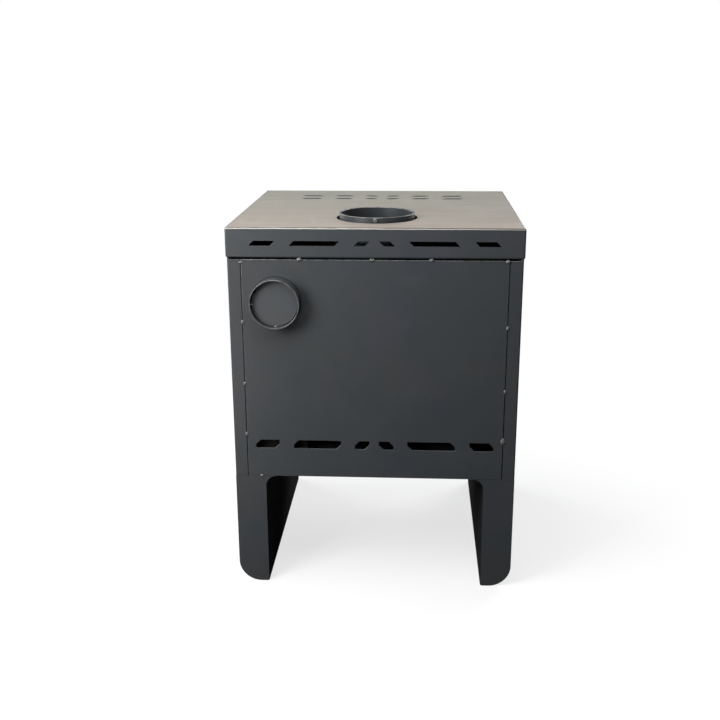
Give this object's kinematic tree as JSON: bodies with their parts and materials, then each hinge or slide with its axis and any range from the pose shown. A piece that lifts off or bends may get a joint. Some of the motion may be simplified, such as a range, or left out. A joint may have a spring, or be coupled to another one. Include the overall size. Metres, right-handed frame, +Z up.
{
  "type": "wood burning stove",
  "caption": "Free-standing sheet-steel wood burning stove with a glazed door, ash drawer, air control, flue collar and rear air spigot on full-depth legs.",
  "frame": {"origin": "middle of the whole stove's box, on the floor", "axes": "+Z up; the door faces -Y and the rear cover with the air spigot faces +Y; +X is to the right of someone who stands at the door"},
  "size_m": [0.47, 0.5306, 0.6265],
  "materials": {
    "top_paint": "satin stove paint, warm grey",
    "casing_paint": "satin charcoal stove paint",
    "firebox_steel": "matt high-temperature black",
    "cast_iron": "as cast",
    "vermiculite": "pressed vermiculite board",
    "stove_glass": "clear ceramic glass",
    "glass_rope": "braided glass fibre",
    "bright_steel": "zinc plated or stainless",
    "black_steel": "satin black"
  },
  "bodies": {
    "stove": {"top_tray": "top_paint", "rear_cover": "casing_paint", "left_side_panel": "casing_paint", "right_side_panel": "casing_paint", "base_plate": "casing_paint", "front_plate": "casing_paint", "left_leg": "casing_paint", "right_leg": "casing_paint", "flue_collar": "casing_paint", "air_spigot": "casing_paint", "spigot_blanking_plate": "casing_paint", "lower_hinge_bracket": "casing_paint", "upper_hinge_bracket": "casing_paint", "firebox_left_wall": "firebox_steel", "firebox_right_wall": "firebox_steel", "firebox_back_wall": "firebox_steel", "firebox_top_plate": "firebox_steel", "firebox_floor": "firebox_steel", "air_duct": "firebox_steel", "airwash_deflector": "firebox_steel", "log_guard": "firebox_steel", "catch_plate": "firebox_steel", "grate": "cast_iron", "left_brick": "vermiculite", "right_brick": "vermiculite", "back_brick": "vermiculite", "baffle_plate": "vermiculite", "leg_bolt_1": "bright_steel", "leg_bolt_2": "bright_steel", "leg_bolt_3": "bright_steel", "leg_bolt_4": "bright_steel", "collar_screw": "bright_steel", "slide_screw_1": "bright_steel", "slide_screw_2": "bright_steel", "lower_hinge_pin": "bright_steel", "upper_hinge_pin": "bright_steel"},
    "door": {"door_frame": "casing_paint", "door_glass": "stove_glass", "door_rope_seal": "glass_rope", "glass_gasket": "glass_rope", "lower_hinge_knuckle": "casing_paint", "upper_hinge_knuckle": "casing_paint", "glass_clip_1": "bright_steel", "glass_clip_2": "bright_steel", "glass_clip_3": "bright_steel", "glass_clip_4": "bright_steel", "clip_screw_1": "bright_steel", "clip_screw_2": "bright_steel", "clip_screw_3": "bright_steel", "clip_screw_4": "bright_steel"},
    "handle": {"handle_spindle": "bright_steel", "handle_lever": "black_steel", "handle_grip": "bright_steel", "latch_tongue": "bright_steel", "latch_nut": "bright_steel"},
    "air_slide": {"air_slide": "casing_paint", "air_slide_knob": "bright_steel"},
    "ash_pan": {"ash_pan": "firebox_steel", "ash_pan_front": "casing_paint", "ash_pan_knob": "bright_steel"}
  },
  "joints": [
    {"name": "door_hinge", "type": "hinge", "parent": "stove", "child": "door", "pos_m": [-0.214, -0.209, 0.42675], "axis": [0, 0, -1], "range_deg": [0, 110]},
    {"name": "latch_handle", "type": "hinge", "parent": "door", "child": "handle", "pos_m": [0.157, -0.2243, 0.42675], "axis": [0, -1, 0], "range_deg": [0, 75]},
    {"name": "air_control", "type": "slide", "parent": "stove", "child": "air_slide", "axis": [1, 0, 0], "range_m": [-0.0125, 0.0125]},
    {"name": "ash_pan_slide", "type": "slide", "parent": "stove", "child": "ash_pan", "axis": [0, -1, 0], "range_m": [0, 0.25]}
  ]
}
